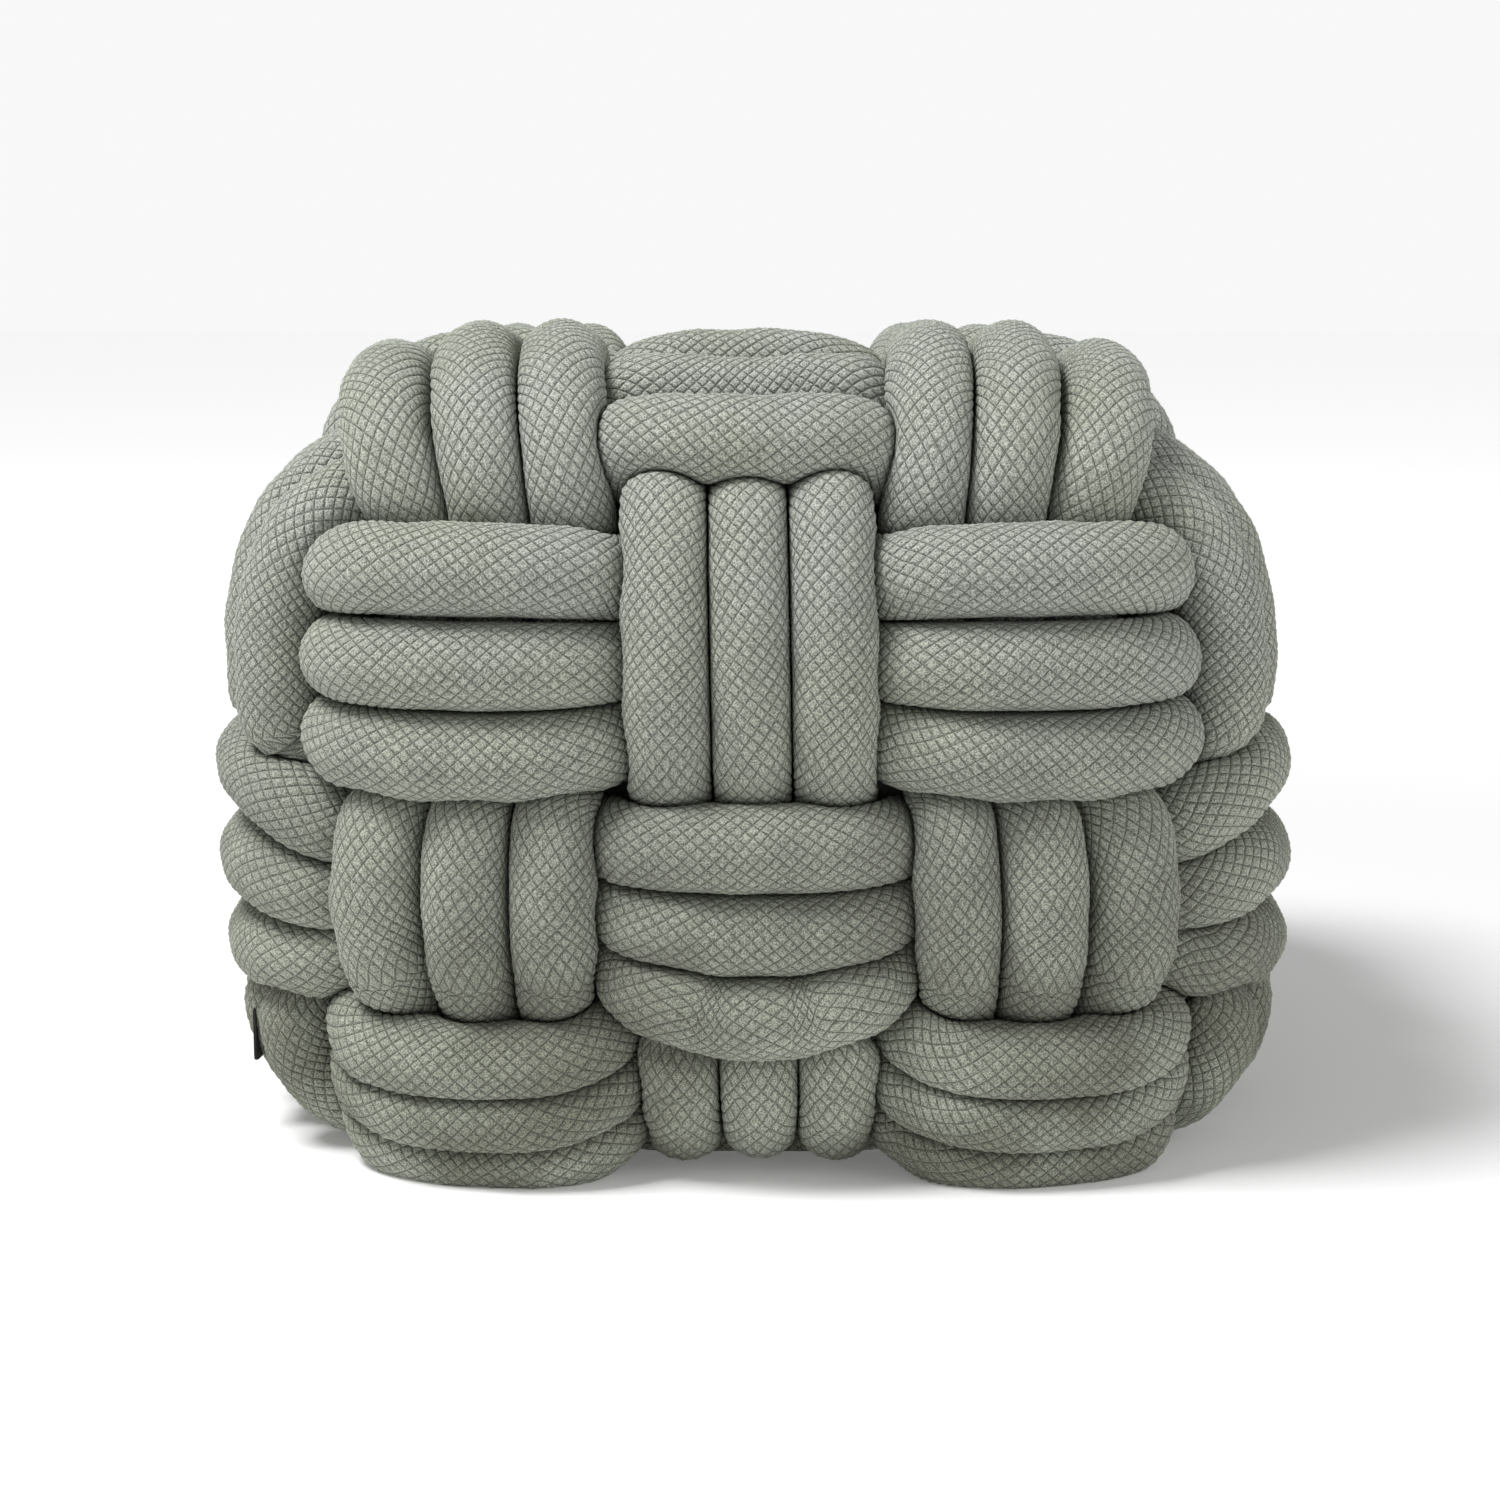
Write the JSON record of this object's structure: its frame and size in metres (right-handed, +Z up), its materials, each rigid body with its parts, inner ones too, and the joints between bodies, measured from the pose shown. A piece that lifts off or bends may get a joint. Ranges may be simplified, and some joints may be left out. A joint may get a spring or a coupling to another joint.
{
  "type": "knotted pouf",
  "caption": "Free-standing cube pouf plaited from closed loops of padded quilted-knit tube around a stuffed inner cushion.",
  "frame": {"origin": "on the floor under the middle of the pouf", "axes": "+Z up, -Y is the front, +X is the pouf's right as seen from the front"},
  "size_m": [0.5256, 0.5262, 0.3947],
  "materials": {
    "knit": "matte sage grey-green quilted air-layer knit with small diamond cells",
    "lining": "plain woven cotton lining, matte",
    "fibre": "soft white fibre filling, matte",
    "label": "dark woven tape, blank"
  },
  "bodies": {
    "root": {"fore_aft_left_1": "knit", "fore_aft_left_2": "knit", "fore_aft_left_3": "knit", "fore_aft_middle_1": "knit", "fore_aft_middle_2": "knit", "fore_aft_middle_3": "knit", "fore_aft_right_1": "knit", "fore_aft_right_2": "knit", "fore_aft_right_3": "knit", "side_to_side_front_1": "knit", "side_to_side_front_2": "knit", "side_to_side_front_3": "knit", "side_to_side_centre_1": "knit", "side_to_side_centre_2": "knit", "side_to_side_centre_3": "knit", "side_to_side_rear_1": "knit", "side_to_side_rear_2": "knit", "side_to_side_rear_3": "knit", "waist_lower_1": "knit", "waist_lower_2": "knit", "waist_lower_3": "knit", "waist_centre_1": "knit", "waist_centre_2": "knit", "waist_centre_3": "knit", "waist_upper_1": "knit", "waist_upper_2": "knit", "waist_upper_3": "knit", "core_cover": "lining", "core_closing_strip": "lining", "core_filling": "fibre", "label": "label"}
  },
  "joints": []
}
